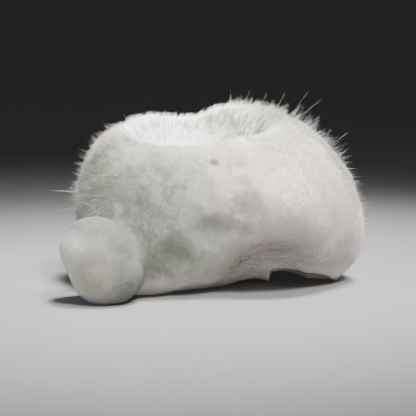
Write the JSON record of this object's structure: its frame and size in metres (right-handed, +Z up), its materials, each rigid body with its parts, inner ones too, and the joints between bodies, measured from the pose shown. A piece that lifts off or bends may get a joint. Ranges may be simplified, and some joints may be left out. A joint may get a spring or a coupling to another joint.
{
  "type": "okenite puffball",
  "caption": "Broken fuzzy ball of radiating white okenite fibres with an open crater in the top and a smaller smooth ball grown onto its lower front.",
  "frame": {"origin": "middle of the specimen's box as seen from above, on the surface that it rests on", "axes": "+X along the long way of the specimen, from the small ball's side to the taller side; -Y out of the front, where the small ball sits; +Z up"},
  "size_m": [0.0428, 0.0353, 0.0251],
  "materials": {
    "okenite_fibre": "soft matt felt of fine white fibres, faintly green at the lower left and faintly pink at the right, silky where it is broken"
  },
  "bodies": {
    "root": {"okenite_puffball": "okenite_fibre"}
  },
  "joints": []
}
